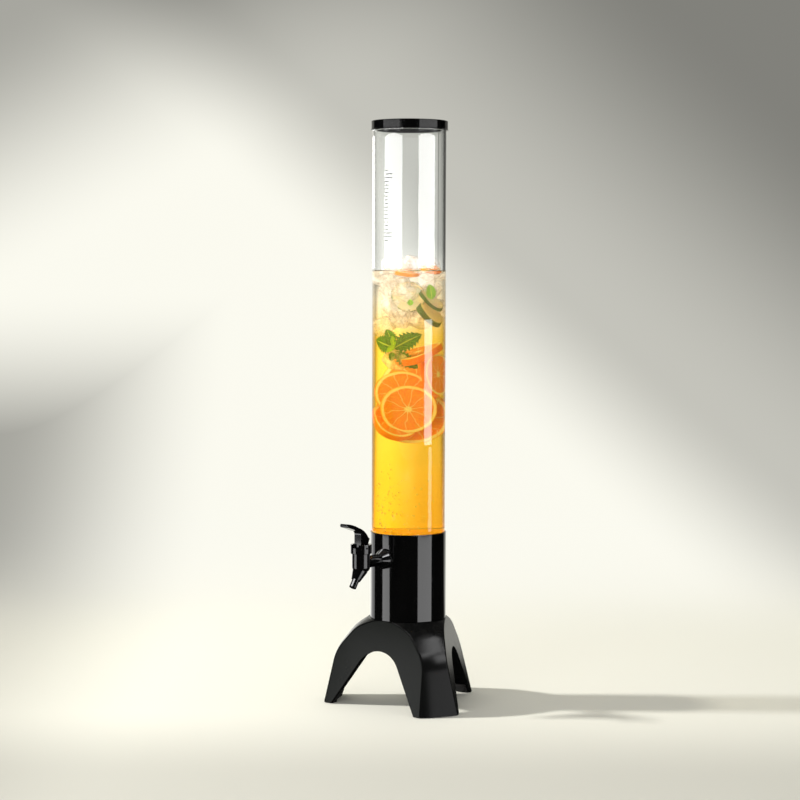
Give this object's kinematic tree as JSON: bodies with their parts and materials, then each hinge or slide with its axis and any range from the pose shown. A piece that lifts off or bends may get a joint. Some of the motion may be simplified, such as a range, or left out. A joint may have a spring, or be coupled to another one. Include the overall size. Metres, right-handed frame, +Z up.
{
  "type": "beer tower dispenser",
  "caption": "Tall clear drink tower on a black arched tripod, with a push-on lid and a self-closing lever tap low on its cup.",
  "frame": {"origin": "on the tube's axis, at the plane the foot pads rest on", "axes": "+Z up along the tube; the tap points along -Y; +X to the tap's right-hand side seen from the front"},
  "size_m": [0.1976, 0.2261, 0.713],
  "materials": {
    "black_gloss": "polished",
    "black_satin": "satin",
    "black_nylon": "matte",
    "black_rubber": "matte",
    "silicone": "satin",
    "steel": "bright",
    "white_acetal": "satin",
    "clear_acrylic": "clear"
  },
  "bodies": {
    "tower": {"tripod_base": "black_satin", "foot_pad_right": "black_rubber", "foot_pad_back": "black_rubber", "foot_pad_left": "black_rubber", "base_washer": "black_rubber", "base_clamp_nut": "black_nylon", "lower_cup": "black_gloss", "tube_gasket": "silicone", "clear_tube": "clear_acrylic", "tap_body": "black_gloss", "spout_nozzle": "black_gloss", "tap_outer_washer": "black_rubber", "tap_inner_washer": "black_rubber", "tap_lock_nut": "black_nylon", "tap_bonnet": "black_gloss", "lever_pin": "steel", "stem_o_ring": "black_rubber", "return_spring": "steel"},
    "lid": {"lid_cap": "black_gloss", "lid_seal": "silicone"},
    "lever": {"tap_lever": "black_gloss"},
    "valve": {"valve_stem": "white_acetal", "valve_plug": "silicone"}
  },
  "joints": [
    {"name": "lid_lift", "type": "slide", "parent": "tower", "child": "lid", "axis": [0, 0, 1], "range_m": [0, 0.12]},
    {"name": "lever_tilt", "type": "hinge", "parent": "tower", "child": "lever", "pos_m": [0, -0.0951, 0.2006], "axis": [1, 0, 0], "range_deg": [0, 35]},
    {"name": "stem_lift", "type": "slide", "parent": "tower", "child": "valve", "axis": [0, 0, 1], "range_m": [0, 0.0023], "stiffness_N_per_m": 200, "springref_m": -0.0024, "deforming": ["return_spring"]}
  ],
  "couplings": [
    {"joint": "lever_tilt", "follows": "stem_lift", "rad_per_m": 263.16}
  ]
}
